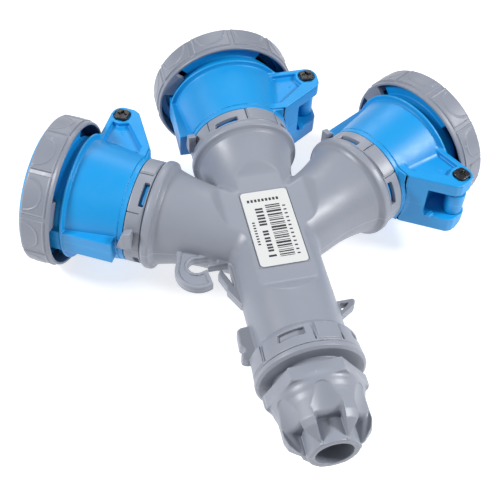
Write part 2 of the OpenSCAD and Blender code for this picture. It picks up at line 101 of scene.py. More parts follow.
def drawn(corners, ease=0.5, pitch=0.1, margin=5):
    """A closed outline with eased corners, as a function that gives the distance to it."""
    low, high = np.min(corners, 0) - margin, np.max(corners, 0) + margin
    u, v = (np.arange(a, b, pitch) for a, b in zip(low, high))
    table = outline(u[:, None] + 0 * v, v + 0 * u[:, None], corners)
    kernel = np.hanning(2 * round(ease / pitch) + 3)
    kernel /= kernel.sum()
    for axis in (0, 1):
        rim = len(kernel) // 2
        pads = [(rim, rim) if k == axis else (0, 0) for k in (0, 1)]
        wide = np.pad(table, pads, "reflect", reflect_type="odd")
        table = np.apply_along_axis(np.convolve, axis, wide, kernel, "valid")
    table = table.astype(np.float32)

    def distance(x, y):
        p, q = (x - low[0]) / pitch, (y - low[1]) / pitch
        cp, cq = np.clip(p, 0, table.shape[0] - 1.001), np.clip(q, 0, table.shape[1] - 1.001)
        i, j = cp.astype(int), cq.astype(int)
        fp, fq = cp - i, cq - j
        near = table[i, j] * (1 - fp) * (1 - fq) + table[i + 1, j] * fp * (1 - fq)
        near = near + table[i, j + 1] * (1 - fp) * fq + table[i + 1, j + 1] * fp * fq
        return near + np.hypot(p - cp, q - cq) * pitch

    return distance


def block(x, y, z, low, high, edge=0.4):
    """Signed distance to a box with rounded edges."""
    away = [abs(v - (l + h) / 2) - (h - l) / 2 + edge for v, l, h in zip((x, y, z), low, high)]
    outside = np.sqrt(sum(np.maximum(q, 0) ** 2 for q in away))
    return outside + np.minimum(np.maximum(np.maximum(away[0], away[1]), away[2]), 0) - edge


def beside(turn, middle, half, radius, every=360.0):
    """Distance round a circle past a sector, which repeats every so many degrees."""
    off = np.abs((turn - middle + every / 2) % every - every / 2)
    return (off - half) * np.pi / 180 * radius


def moulded(name, field, low, high, step):
    """Closed mesh of the surface where a distance field in millimetres is zero."""
    span = 4
    low = np.array(low, float)
    counts = np.ceil((np.array(high) - low) / (step * span)).astype(int)
    cells = np.stack(np.meshgrid(*[np.arange(n) for n in counts], indexing="ij"), -1)
    middle = low + (cells + 0.5) * step * span
    rough = field(middle[..., 0], middle[..., 1], middle[..., 2])
    values = np.where(rough < 0, -1.0, 1.0).astype(np.float32)
    for axis in range(3):
        values = np.repeat(values, span, axis=axis)
    values = np.pad(values, [(0, 1)] * 3, mode="edge")
    near = cells[np.abs(rough) < 0.87 * step * span * 1.25 + 0.6]
    corner = np.stack(np.meshgrid(*[np.arange(span + 1)] * 3, indexing="ij"), -1).reshape(-1, 3)
    spots = (near[:, None] * span + corner).reshape(-1, 3)
    where = low + spots * step
    values[tuple(spots.T)] = field(*where.T)

    # one vertex in each cell that the surface crosses
    inside = values < 0
    corners = np.array([(i, j, k) for i in (0, 1) for j in (0, 1) for k in (0, 1)])
    shape = np.array(values.shape) - 1
    total = sum(
        inside[i : i + shape[0], j : j + shape[1], k : k + shape[2]].astype(np.int8)
        for i, j, k in corners
    )
    active = (total > 0) & (total < 8)
    index = np.full(active.shape, -1, np.int64)
    cell = np.argwhere(active)
    index[active] = np.arange(len(cell))
    at = [values[tuple((cell + c).T)].astype(float) for c in corners]
    point, crossings = np.zeros((len(cell), 3)), np.zeros(len(cell))
    for m in range(8):
        for n in range(m + 1, 8):
            if np.abs(corners[m] - corners[n]).sum() != 1:
                continue
            crossed = (at[m] < 0) != (at[n] < 0)
            t = at[m] / np.where(crossed, at[m] - at[n], 1)
            point += np.where(crossed, 1, 0)[:, None] * (corners[m] + t[:, None] * (corners[n] - corners[m]))
            crossings += crossed
    point = low + (cell + point / crossings[:, None]) * step

    # one face across each grid edge that the surface crosses
    faces = []
    for axis in range(3):
        u, v = (axis + 1) % 3, (axis + 2) % 3
        first = [slice(None)] * 3
        second = [slice(None)] * 3
        first[axis], second[axis] = slice(None, -1), slice(1, None)
        a, b = inside[tuple(first)], inside[tuple(second)]
        edge = np.argwhere(a != b)
        edge = edge[(edge[:, u] > 0) & (edge[:, v] > 0)]
        edge = edge[(edge[:, u] < shape[u]) & (edge[:, v] < shape[v])]
        du, dv = np.eye(3, dtype=int)[u], np.eye(3, dtype=int)[v]
        quad = np.stack([index[tuple((edge - s).T)] for s in (du + dv, dv, 0 * du, du)], 1)
        outward = a[tuple(edge.T)]
        quad[~outward] = quad[~outward][:, ::-1]
        faces.append(quad)
    faces = np.concatenate(faces)

    # evens the vertices out and settles each on the true surface
    def gradient(p):
        slope, value = np.zeros(p.shape), np.zeros(len(p))
        for k in ((1, -1, -1), (-1, -1, 1), (-1, 1, -1), (1, 1, 1)):
            tip = field(*(p + np.array(k) * 0.04).T)
            slope += tip[:, None] * np.array(k)
            value += tip
        return slope / 0.16, value / 4

    def settle(p):
        slope, value = gradient(p)
        steep = np.maximum((slope**2).sum(1), 0.2)
        move = np.clip(value / steep, -step, step)
        return p - slope * move[:, None]

    pairs = np.concatenate([faces[:, [k, (k + 1) % 4]] for k in range(4)])
    degree = np.bincount(pairs[:, 0], minlength=len(point))
    for _ in range(2):
        point = settle(point)
        pull = np.stack([np.bincount(pairs[:, 0], point[pairs[:, 1], k], len(point)) for k in range(3)], 1)
        point = 0.5 * point + 0.5 * pull / np.maximum(degree, 1)[:, None]
    point = settle(settle(point))

    mesh = bpy.data.meshes.new(name)
    mesh.vertices.add(len(point))
    mesh.vertices.foreach_set("co", (point * mm).astype(np.float32).ravel())
    mesh.loops.add(len(faces) * 4)
    mesh.loops.foreach_set("vertex_index", faces.ravel())
    mesh.polygons.add(len(faces))
    mesh.polygons.foreach_set("loop_start", np.arange(len(faces)) * 4)
    mesh.polygons.foreach_set("loop_total", np.full(len(faces), 4))
    mesh.update()
    mesh.validate()
    mesh.shade_smooth()
    slope = gradient(point)[0]
    mesh.normals_split_custom_set_from_vertices(slope / np.linalg.norm(slope, axis=1)[:, None])
    return mesh


def piece(name, mesh, place, material, body, slot, *nodes):
    """Puts a mesh in the scene as a piece that rides on a body and stands for CAD nodes."""
    made = bpy.data.objects.new(name, mesh)
    bpy.context.scene.collection.objects.link(made)
    made.matrix_world = place
    if not mesh.materials:
        mesh.materials.append(material)
    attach(made, body)
    if nodes:
        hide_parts(*nodes)


def linear(code):
    """Linear colour of an sRGB hex value."""
    parts = [int(code[k : k + 2], 16) / 255 for k in (1, 3, 5)]
    return [c / 12.92 if c <= 0.04045 else ((c + 0.055) / 1.055) ** 2.4 for c in parts] + [1.0]


def add(tree, kind, settings=None, links=None):
    """Adds a node with its settings, and links each named input to (node, output)."""
    node = tree.nodes.new(kind)
    for key, value in (settings or {}).items():
        if key in node.inputs:
            node.inputs[key].default_value = value
        else:
            setattr(node, key, value)
    for key, (source, output) in (links or {}).items():
        tree.links.new(source.outputs[output], node.inputs[key])
    return node


def new_material(name):
    """Empty node material with its output, as (material, tree, output node)."""
    made = bpy.data.materials.new(name)
    made.use_nodes = True
    made.node_tree.nodes.clear()
    return made, made.node_tree, add(made.node_tree, "ShaderNodeOutputMaterial")


def moulded_polyamide(name, pale, deep, rough, grain, gloss=0.5, rim="#ffffff", edge_highlight_share=0.12, seam=None):
    """Moulded polyamide with a spark-eroded skin: the tool's fine pits break the highlight into a speckled
    glow, the colour clouds slightly with the melt flow, convex edges carry a pale painted highlight, and a
    fine pale line of painted highlight marks where the tool parts."""
    made, tree, out = new_material(name)
    where = add(tree, "ShaderNodeTexCoord")
    cloud = add(tree, "ShaderNodeTexNoise", {"Scale": 1 / (45 * mm), "Detail": 3.0, "Roughness": 0.55},
                {"Vector": (where, "Object")})
    pits = add(tree, "ShaderNodeTexNoise", {"Scale": 1 / (grain * mm), "Detail": 2.0, "Roughness": 0.6},
               {"Vector": (where, "Object")})
    smear = add(tree, "ShaderNodeTexNoise", {"Scale": 1 / (9 * mm), "Detail": 4.0, "Roughness": 0.6},
                {"Vector": (where, "Object")})
    base = add(tree, "ShaderNodeMix", {"data_type": "RGBA"}, {"Factor": (cloud, "Fac")})
    base.inputs[6].default_value, base.inputs[7].default_value = linear(deep), linear(pale)
    # painted highlight: convex edges, found by pointiness, are mixed toward the pale rim colour
    edge = add(tree, "ShaderNodeNewGeometry")
    edge_highlight = add(tree, "ShaderNodeMapRange", {"From Min": 0.52, "From Max": 0.60, "To Min": 0.0,
                                            "To Max": edge_highlight_share}, {"Value": (edge, "Pointiness")})
    colour = add(tree, "ShaderNodeMix", {"data_type": "RGBA"}, {"Factor": (edge_highlight, "Result")})
    tree.links.new(base.outputs[2], colour.inputs[6])
    colour.inputs[7].default_value = linear(rim)
    # painted highlight: a fine pale line along the parting plane at height seam, mixed toward the rim colour
    if seam is not None:
        spot = add(tree, "ShaderNodeSeparateXYZ", None, {"Vector": (where, "Object")})
        off = add(tree, "ShaderNodeMath", {"operation": "SUBTRACT"}, {0: (spot, "Z")})
        off.inputs[1].default_value = seam * mm
        away = add(tree, "ShaderNodeMath", {"operation": "ABSOLUTE"}, {0: (off, 0)})
        line = add(tree, "ShaderNodeMapRange", {"From Min": 0.12 * mm, "From Max": 0.3 * mm, "To Min": 0.55,
                                                "To Max": 0.0}, {"Value": (away, 0)})
        seam_highlight = add(tree, "ShaderNodeMix", {"data_type": "RGBA"}, {0: (line, "Result"), 6: (colour, 2)})
        seam_highlight.inputs[7].default_value = linear(rim)
        colour = seam_highlight
    shine = add(tree, "ShaderNodeMapRange", {"From Min": 0.3, "From Max": 0.7, "To Min": rough - 0.05,
                                             "To Max": rough + 0.06}, {"Value": (smear, "Fac")})
    bump = add(tree, "ShaderNodeBump", {"Strength": 0.55, "Distance": 0.06 * mm}, {"Height": (pits, "Fac")})
    shader = add(tree, "ShaderNodeBsdfPrincipled", {"IOR": 1.53, "Specular IOR Level": gloss},
                 {"Base Color": (colour, 2), "Roughness": (shine, "Result"), "Normal": (bump, "Normal")})
    tree.links.new(shader.outputs[0], out.inputs[0])
    return made


# grey compound: a cool mid grey, matt enough that its highlights are broad; its pale rim colour is painted
# highlight on edges and the parting line
grey_polyamide = moulded_polyamide("grey_moulded_polyamide", "#8c919d", "#858a96", 0.4, 0.9, rim="#b9bdc8",
                                   edge_highlight_share=0.25, seam=0.0)

label_floor = 20.6
side_angle = 61
# outlines in millimetres: (radius, station) for turned shapes, (x, y) for flat ones
trunk_shape = drawn([(-9, -9), (26.5, -9), (26.5, 76), (29.8, 79.5), (30.4, 81), (31.2, 92.4), (-9, 92.4)])
trunk_hollow = drawn([(-9, -9), (23.5, -9), (23.5, 78), (28.6, 80.6), (28.6, 99), (-9, 99)], 0.2)
neck_shape = drawn([(-9, -9), (24.6, -9), (24.6, 34)]
                   + [(24.6 + 5.2 * ((a - 34) / 29.6) ** 1.9, a) for a in np.linspace(37, 63.6, 10)]
                   + [(31.2, 65), (33.2, 66), (33.5, 67.4), (33.5, 69.8), (32.4, 71.3), (-9, 71.5)], 0.5)
neck_hollow = drawn([(-9, -9), (21.5, -9), (21.5, 42), (24.5, 60), (24.5, 64.2), (28.7, 64.2), (28.7, 79),
                     (-9, 79)], 0.2)
hook_edge = drawn([(-46.5 + 13.7 * math.cos(t), -13.5 + 13.7 * math.sin(t))
                   for t in np.linspace(math.radians(172), math.radians(300), 24)]
                  + [(-39.8, -26), (-41.5, -13.2), (-26, -13.2), (-24, 4), (-53, 10)], 0.6)
hook_slot = drawn([(-46.8 + 5.2 * math.cos(t), -11 + 5.2 * math.sin(t))
                   for t in np.linspace(math.radians(74), math.radians(292), 24)]
                  + [(-40.5, -14.4), (-40.5, -11.2), (-34, -11.2), (-34, -8.8), (-29.5, -8.8),
                     (-29.5, -6)], 0.3)
prong_shape = drawn([(-20, -43), (-27.2, -43.6), (-33.2, -32), (-32.8, -29.4), (-36, -20), (-33.6, -15.6),
                     (-29.2, -27), (-28.3, -30), (-28.3, -9), (-20, -9)], 0.5)
rib_shape = drawn([(20, -51.7), (36.6, -51.4), (37.7, -52.8), (36, -56.6), (26.9, -62.4), (20, -62.4)], 0.7)
rib_hole = drawn([(28, -53.6), (33.4, -53.8), (28, -58.4)], 0.3)
tab_shape = drawn([(-20, -57.7), (-32, -59), (-34, -60.6), (-34.6, -70.5), (-32.8, -73), (-32.6, -74.6),
                   (-35, -76), (-35, -79), (-32.4, -80.4), (-20, -80.4)], 0.8)


def along(x, y, angle):
    """Station and sideways place of a point, for an outlet at an angle from Y."""
    s, c = math.sin(math.radians(angle)), math.cos(math.radians(angle))
    return x * s + y * c, x * c - y * s


def hook_field(x, y, z):
    edge = hook_edge(x, y)
    solid = cut(both(edge, abs(z) - 3, 0.7), hook_slot(x, y), 0.5)
    dished = both(both(edge + 2.4, 2.2 - z, 0.4), -hook_slot(x, y) + 1.8, 0.4)
    return cut(solid, dished, 0.3)


def ribs_field(x, y, z):
    prong = both(prong_shape(x, y), abs(z) - 3, 0.7)
    rib = cut(both(rib_shape(x, y), abs(z) - 3, 0.7), rib_hole(x, y), 0.4)
    tab = both(tab_shape(x, y), abs(z) - 4, 1.2)
    return np.minimum(np.minimum(prong, rib), tab)


def housing_field(x, y, z):
    u, r = -y, np.hypot(x, z)
    turn = np.degrees(np.arctan2(z, x))
    outer = trunk_shape(r, u)
    # snap panels of the trunk's rim: each stands proud and is parted by slits
    panel = both(both(beside(turn, 72, 13, 30, 90), abs(u - 85.8) - 5.4, 0.3), r - 31.5, 0.3)
    slit = both(both(abs(beside(turn, 72, 15.5, 30, 90)) - 0.45, abs(u - 86) - 5, 0.2), 29.9 - r, 0.2)
    outer = cut(join(outer, panel, 0.2), slit, 0.2)
    inner = trunk_hollow(r, u)
    for angle in (-side_angle, 0, side_angle):
        a, b = along(x, y, angle)
        q = np.hypot(b, z)
        outer = join(outer, neck_shape(q, a), 2.6)
        inner = np.minimum(inner, neck_hollow(q, a))
    ball = np.sqrt(x * x + y * y + z * z)
    outer = join(outer, ball - 27.1, 1.5)
    inner = np.minimum(inner, ball - 23)
    rise = (z - label_floor) * 1.5
    steep = 0.555
    tray = both((abs(x) - 25.6 - rise) * steep, (y - 37 - rise) * steep, 0.8)
    tray = both(both(tray, (-y - 44.5 - rise) * steep, 0.8), label_floor - z, 0.8)
    # a thin recess that the label is stuck in
    seat = block(x, y, z, (-14.9, -33.3, label_floor - 0.4), (14.9, 23.5, label_floor + 5), 0.3)
    outer = cut(cut(outer, tray, 0.7), seat, 0.1)
    outer = join(outer, hook_field(x, y, z), 0.8)
    outer = join(outer, ribs_field(x, y, z), 0.8)
    gaps = both(both(beside(turn, 111, 15, 31, 90), abs(u - 84) - 2.3, 1.0), 26 - r, 0.2)
    shell = cut(outer, both(inner, z - label_floor + 2.2, 0.4), 0.3)
    return cut(shell, gaps, 0.3)


piece(
    "housing_shell",
    moulded("housing_shell", housing_field, (-83, -96, -36), (83, 76, 36), 0.65),
    at_hub, grey_polyamide, "base", "grey_shell", "housing",
)


# -------------------------------------------------------------- type label
# A pale polyester film label stuck in the housing's tray, die-cut with rounded
# corners. Its printing is generic: a code of bars, bold strokes and small marks.

label_low, label_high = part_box("type_label")


def film(name, paper, rough):
    """Printed polyester film: even and slightly satin, with a faint orange-peel
    ripple from the glue under it."""
    made, tree, out = new_material(name)
    where = add(tree, "ShaderNodeTexCoord")
    ripple = add(tree, "ShaderNodeTexNoise", {"Scale": 1 / (6 * mm), "Detail": 2.0},
                 {"Vector": (where, "Object")})
    tone = add(tree, "ShaderNodeMix", {"data_type": "RGBA"}, {"Factor": (ripple, "Fac")})
    tone.inputs[6].default_value = linear(paper)
    tone.inputs[7].default_value = [0.94 * c for c in linear(paper)[:3]] + [1]
    bump = add(tree, "ShaderNodeBump", {"Strength": 0.1, "Distance": 0.05 * mm}, {"Height": (ripple, "Fac")})
    shader = add(tree, "ShaderNodeBsdfPrincipled", {"Roughness": rough, "IOR": 1.5},
                 {"Base Color": (tone, 2), "Normal": (bump, "Normal")})
    tree.links.new(shader.outputs[0], out.inputs[0])
    return made


label_film = film("printed_polyester_film", "#cdcfcf", 0.42)
label_ink = film("black_label_ink", "#2b2d33", 0.5)


def label_mesh():
    """The film with rounded corners, and its printed bars just above it."""
    corners, faces, inks = [], [], []

    def plate(cx, cy, w, h, z0, z1, radius, ink):
        first = len(corners)
        ring = []
        for sx, sy, turn in ((1, 1, 0), (-1, 1, 90), (-1, -1, 180), (1, -1, 270)):
            for k in range(5):
                t = math.radians(turn + 22.5 * k)
                ring.append((cx + sx * (w / 2 - radius) + radius * math.cos(t),
                             cy + sy * (h / 2 - radius) + radius * math.sin(t)))
        corners.extend([(x, y, z0) for x, y in ring] + [(x, y, z1) for x, y in ring])
        n = len(ring)
        faces.append([first + n + k for k in range(n)])
        faces.append([first + k for k in reversed(range(n))])
        for k in range(n):
            after = (k + 1) % n
            faces.append([first + k, first + after, first + n + after, first + n + k])
        inks.extend([ink] * (n + 2))

    def print_bar(x0, x1, y0, y1):
        plate((x0 + x1) / 2, (y0 + y1) / 2, x1 - x0, y1 - y0, 0.27, 0.3, 0.08, 1)

    plate(0, 0, 28.4, 55.4, 0, 0.28, 2.3, 0)
    # a code of bars across the label, their widths in a fixed rhythm
    y = -22.2
    for k in range(30):
        thick = (0.5, 1.2, 0.5, 0.9, 1.5, 0.5, 0.9)[(k * 3) % 7]
        if y + thick < 16.9:
            print_bar(-1.4, 7.4, y, y + thick)
        y += thick + (0.6, 0.9, 0.6, 1.2)[(k * 5) % 4]
    # small marks beside the code, and a line of small marks across the top
    for k in range(13):
        print_bar(8.8, 10.6, -22 + 3.0 * k, -21 + 3.0 * k)
    for k in range(9):
        print_bar(-11.2 + 2.2 * k, -9.8 + 2.2 * k, 19.8, 21.9)
    # bold strokes along the label, in two groups, and a thin row beside them
    for y, half in ((-20.8, 2.3), (-17, 1.7), (-14.9, 1.7), (-12.8, 1.7), (-10, 1.7), (-7.9, 1.7), (-5, 1.7),
                    (-2.9, 1.7), (2.4, 2.3), (4.6, 2.3), (7, 2.3), (9.2, 2.3), (12, 2.3), (14.2, 2.3)):
        print_bar(-5.6 - half, -5.6 + half, y - 0.72, y + 0.72)
    for k in range(9):
        print_bar(-11.9, -10.3, -12 + 2 * k, -11 + 2 * k)
    mesh = bpy.data.meshes.new("type_label_film")
    mesh.from_pydata([tuple(v * mm for v in c) for c in corners], [], faces)
    mesh.materials.append(label_film)
    mesh.materials.append(label_ink)
    mesh.polygons.foreach_set("material_index", inks)
    return mesh


label_middle = (label_low + label_high) / 2
piece("type_label_film", label_mesh(), Matrix.Translation((label_middle.x, label_middle.y, label_low.z)),
      label_film, "base", "label_film", "type_label")


# ----------------------------------------------------------- outlet bodies
# Three blue outlets, each one polyamide moulding: a spigot clicks into the neck,
# the flared body ends in a ridge, and a bracket for the lid's hinge and a key
# ridge stand on its sides. The nose that a plug slides over is inside the ring.

# azure blue compound, with a rougher skin than the grey, so its highlights speckle; its pale rim colour is
# painted highlight on edges and the parting line
blue_polyamide = moulded_polyamide("blue_moulded_polyamide", "#0593d8", "#0388cc", 0.42, 1.1, rim="#3fb4ef",
                                   edge_highlight_share=0.3, seam=1.0)

hinge_x = 50.3
hinge_y = 110.7
boss_radius = 7.2
body_shape = drawn([(-9, 65.2), (28.4, 65.2), (28.4, 82.3), (31.8, 82.3), (31.8, 84), (35.8, 116.5),
                    (36.8, 117), (38.9, 117.4), (38.9, 118.8), (36.9, 119.3), (35.9, 120.6), (35.7, 126),
                    (33.2, 130.6), (28.8, 131), (28.8, 136.5), (-9, 136.5)], 0.5)
body_hollow = drawn([(-9, 60), (25.6, 60), (25.6, 84), (29, 87), (29.6, 98), (26.2, 98), (26.2, 146),
                     (-9, 146)], 0.2)
bracket_shape = drawn([(10, 83), (28.3, 84.2), (55.6, 101.3), (57.3, 104.5)]
                      + [(hinge_x + boss_radius * math.cos(t), hinge_y + boss_radius * math.sin(t))
                         for t in np.linspace(0, math.pi / 2, 7)] + [(10, 117.9)], 0.9)
knuckle_room = drawn([(30, 88.2), (40.5, 94.9), (42, 91), (70, 100), (70, 125), (30, 125)], 0.4)
pocket_shape = drawn([(15, 114.6), (44, 114.6), (43, 110), (45.5, 104.5), (29, 90.6), (15, 90)], 0.8)


def body_field(x, y, z):
    r, turn = np.hypot(x, z), np.degrees(np.arctan2(z, x))
    body = body_shape(r, y)
    bracket = both(bracket_shape(x, y), abs(z - 2.5) - 21.5, 0.9)
    bracket = cut(bracket, both(knuckle_room(x, y), abs(z - 3.85) - 11.15, 0.5), 0.4)
    foot = both(bracket, (-z - 19) * 0.707 + (x * 0.53 + y * 0.848 - 122) * 0.707, 0.6)
    bracket = cut(foot, both(pocket_shape(x, y), 21 - z, 0.8), 0.6)
    dot = both(np.hypot(x - 38, y - 106) - 0.9, abs(z - 21) - 0.35, 0.1)
    nub = block(x, y, z, (43.4, 93.4, -7.6), (46.6, 97.4, -5.6), 0.4)
    bracket = join(join(bracket, dot, 0.2), nub, 0.3)
    key = block(x, y, z, (-37.8, 86.6, -8.5), (-20, 126.2, 8.5), 0.5)
    lugs = both(both(beside(turn, 96.5, 39.5, 38, 180), abs(y - 128) - 2, 0.4), r - 41.3, 0.4)
    lugs = both(lugs, 30 - r, 0.2)
    body = join(join(body, bracket, 1.6), join(key, lugs, 0.3), 0.5)
    # the catches that click into the collar's windows
    catch = np.minimum(beside(turn, 26, 12, 30, 180), beside(turn, 111, 12, 30, 180))
    catch = both(both(catch, abs(y - 74) - 0.9, 0.4), abs(r - 28.3) - 1.5, 0.3)
    body = np.minimum(body, catch)
    groove = both(abs(r - 30.15) - 1.35, 103 - y, 0.2)
    body = cut(cut(body, groove, 0.3), body_hollow(r, y), 0.4)
    body = cut(body, block(x, y, z, (-35.6, 103, -3), (-29.6, 143, 3), 0.2), 0.3)
    body = cut(body, block(x, y, z, (36.9, 116.5, -11), (43, 122.5, 11), 0.3), 0.3)
    bore = np.hypot(x - hinge_x, y - hinge_y)
    body = cut(body, both(bore - 5.3, 23.1 - z, 0.2), 0.2)
    seam = both(abs(y - 85.4) - 0.22, 31.7 - r, 0.1)
    return cut(cut(body, bore - 2.52, 0.3), seam, 0.15)


def at_outlet(side):
    """Place of an outlet's own frame, with X to its hinge and Y along it."""
    turn = {"left": -side_angle, "centre": 0, "right": side_angle}[side]
    return at_hub @ Matrix.Rotation(-math.radians(turn), 4, "Z")


body_mesh = moulded("outlet_body", body_field, (-40, 63, -43), (60, 139, 43), 0.6)
for side in sides:
    piece(f"outlet_body_{side}", body_mesh, at_outlet(side), blue_polyamide, "base", "blue_shell",
          f"socket_{side}")


# -------------------------------------------------------------------- lids
# A hinged blue cap for each outlet. Its rim shows as a thin line past the grey
# ring, a trough inside holds the seal, and an arm runs back to the knuckle.

lid_shape = drawn([(-9, 139.6), (30.2, 139.6), (30.2, 134.4), (34.6, 134.4), (34.6, 139.6), (38.2, 139.6),
                   (38.2, 133.8), (42.9, 133.8), (42.9, 136.6), (40.9, 136.6), (40.9, 141), (42.4, 141),
                   (42.4, 141.8), (41.2, 143), (37.6, 143), (36.8, 142.2), (12.6, 142.2), (11.8, 143),
                   (-9, 143)], 0.3)
arm_shape = drawn([(38.4, 136), (42, 136), (42, 121.9), (47, 119.2), (53.5, 115.8), (hinge_x, hinge_y),
                   (44.6, 112.5), (39.3, 117.5), (38.4, 119)], 0.6)


def lid_field(x, y, z):
    cap = lid_shape(np.hypot(x, z), y)
    arm = both(arm_shape(x, y), abs(z - 1) - 7, 0.7)
    knuckle = np.hypot(x - hinge_x, y - hinge_y)
    barrel = both(knuckle - 6, abs(z - 0.75) - 7.75, 0.6)
    lid = join(cap, join(arm, barrel, 1.2), 0.6)
    return cut(lid, knuckle - 2.55, 0.3)


lid_mesh = moulded("outlet_lid", lid_field, (-46, 103, -46), (58, 145, 46), 0.55)
for side in sides:
    piece(f"outlet_lid_{side}", lid_mesh, at_outlet(side), blue_polyamide, f"lid_{side}_body", "blue_shell",
          f"lid_{side}")


# ------------------------------------------------------------------- rings
# Grey bayonet rings that pull the lids down. Ten grip panels with a step at one
# side, a fine ridge at the other and a raised arch help a wet hand to turn them.

# the rings' compound is a little darker, and a stronger pale painted highlight lies on their relief and edges
ring_polyamide = moulded_polyamide("grey_ring_polyamide", "#828794", "#7b808d", 0.42, 0.8, rim="#c3c7d2",
                                   edge_highlight_share=0.4)
panel_degrees = 34.4
mm_per_degree = 0.8029
ring_shape = drawn([(43.3, 122.8), (45.3, 122.8), (46, 123.7), (46, 139.8), (45.3, 140.8), (41.2, 140.8),
                    (41.2, 137), (43.3, 137)], 0.4)


def ring_field(x, y, z):
    r, turn = np.hypot(x, z), np.degrees(np.arctan2(z, x)) % 360
    within = np.where(turn < 16, turn + 9, (turn - 16) % panel_degrees)
    beside_middle = (within - panel_degrees / 2) * mm_per_degree
    w = np.clip(ring_front - y, 0, 18)
    # relief of one panel: stepped side, ridged side, rear line and arch
    step = 0.55 * np.clip((beside_middle + 12.4) / 0.4, 0, 1) * np.clip((12.6 - beside_middle) / 0.5, 0, 1)
    ridge = 0.35 * np.exp(-(((beside_middle - 11.9) / 0.5) ** 2))
    ridge = ridge + 0.3 * np.exp(-(((w - 14.6) / 0.45) ** 2))
    rear = np.clip((15.2 - w) / 0.5, 0, 1)
    arch = ((np.abs(beside_middle) / 9.8) ** 2.4 + (w / 11.2) ** 2.4) ** (1 / 2.4)
    line = 0.36 * np.exp(-(((arch - 1) * 9.5 / 0.5) ** 2)) * np.clip((w - 1.2) / 1.0, 0, 1)
    relief = 0.9 - step * rear - (ridge + line) * rear
    ring = ring_shape(r + np.clip(relief, 0, 1) * np.clip((r - 44.2) / 0.9, 0, 1), y) * 0.9
    cams = both(both(beside(turn, 152, 12, 40, 180), abs(y - 124.2) - 1.4, 0.3), r - 44, 0.3)
    return join(ring, both(cams, 36.3 - r, 0.3), 0.3)


ring_mesh = moulded("bayonet_ring", ring_field, (-47, 121.6, -47), (47, 142, 47), 0.45)
for side in sides:
    piece(f"bayonet_ring_{side}", ring_mesh, at_outlet(side), ring_polyamide, f"ring_{side}_body",
          "grey_ring", f"ring_{side}")


# ----------------------------------------------------------------- gaskets
# Flat rubber seals in the trough of each lid, cut from tube and pressed in.


def soft_rubber(name, shade, rough):
    """Moulded rubber: nearly black, matt, with a bloom that clouds its colour a little."""
    made, tree, out = new_material(name)
    where = add(tree, "ShaderNodeTexCoord")
    bloom = add(tree, "ShaderNodeTexNoise", {"Scale": 1 / (7 * mm), "Detail": 4.0},
                {"Vector": (where, "Object")})
    grain = add(tree, "ShaderNodeTexNoise", {"Scale": 1 / (0.4 * mm), "Detail": 2.0},
                {"Vector": (where, "Object")})
    tone = add(tree, "ShaderNodeMix", {"data_type": "RGBA"}, {"Factor": (bloom, "Fac")})
    tone.inputs[6].default_value = linear(shade)
    tone.inputs[7].default_value = [1.7 * c for c in linear(shade)[:3]] + [1]
    bump = add(tree, "ShaderNodeBump", {"Strength": 0.3, "Distance": 0.05 * mm}, {"Height": (grain, "Fac")})
    shader = add(tree, "ShaderNodeBsdfPrincipled", {"Roughness": rough, "IOR": 1.52},
                 {"Base Color": (tone, 2), "Normal": (bump, "Normal")})
    tree.links.new(shader.outputs[0], out.inputs[0])
    return made


nitrile_rubber = soft_rubber("black_nitrile_rubber", "#18191b", 0.62)


def finish_node(names, material, bevel=0.15):
    """Gives carried-over nodes their material, and the small radius of a real edge."""
    for name in names:
        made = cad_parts[name]
        made.data.materials.clear()
        made.data.materials.append(material)
        if bevel:
            soft = made.modifiers.new("edge radius", "BEVEL")
            soft.width = bevel * mm
            soft.segments = 2
            soft.limit_method = "ANGLE"
            soft.angle_limit = math.radians(40)


finish_node([f"gasket_{side}" for side in sides], nitrile_rubber, 0.3)


# ---------------------------------------------------------- pins and springs
# Each lid turns on a black moulded nylon pin pressed into the bracket. Its squarish
# head has a recess for a key, and a small coil spring round it pulls the lid shut.

# its rim colour is a painted highlight on the pin's edges
pin_nylon = moulded_polyamide("black_moulded_nylon", "#232326", "#1a1a1d", 0.3, 0.5, rim="#3c3c40",
                              edge_highlight_share=0.3)


def pin_field(x, y, z):
    shank = both(np.hypot(x, y) - 2.5, abs(z - 2.35) - 20.85, 0.3)
    square = (x**4 + y**4 + 1e-6) ** 0.25
    head = both(square - 4.3, abs(z - 24.3) - 1.1, 0.6)
    hexagon = np.maximum(abs(x), abs(x) / 2 + abs(y) * 0.866)
    cross = np.minimum(both(abs(x) - 0.55, abs(y) - 2.9, 0.1), both(abs(y) - 0.55, abs(x) - 2.9, 0.1))
    recess = both(np.minimum(hexagon - 1.7, cross), 24.2 - z, 0.1)
    return cut(join(shank, head, 0.3), recess, 0.15)


pin_mesh = moulded("hinge_pin", pin_field, (-5, -5, -19.5), (5, 5, 26), 0.22)
on_hinge = Matrix.Translation((hinge_x * mm, hinge_y * mm, 0))
for side in sides:
    piece(f"hinge_pin_{side}", pin_mesh, at_outlet(side) @ on_hinge, pin_nylon,
          "base", "black_pin", f"pin_{side}")


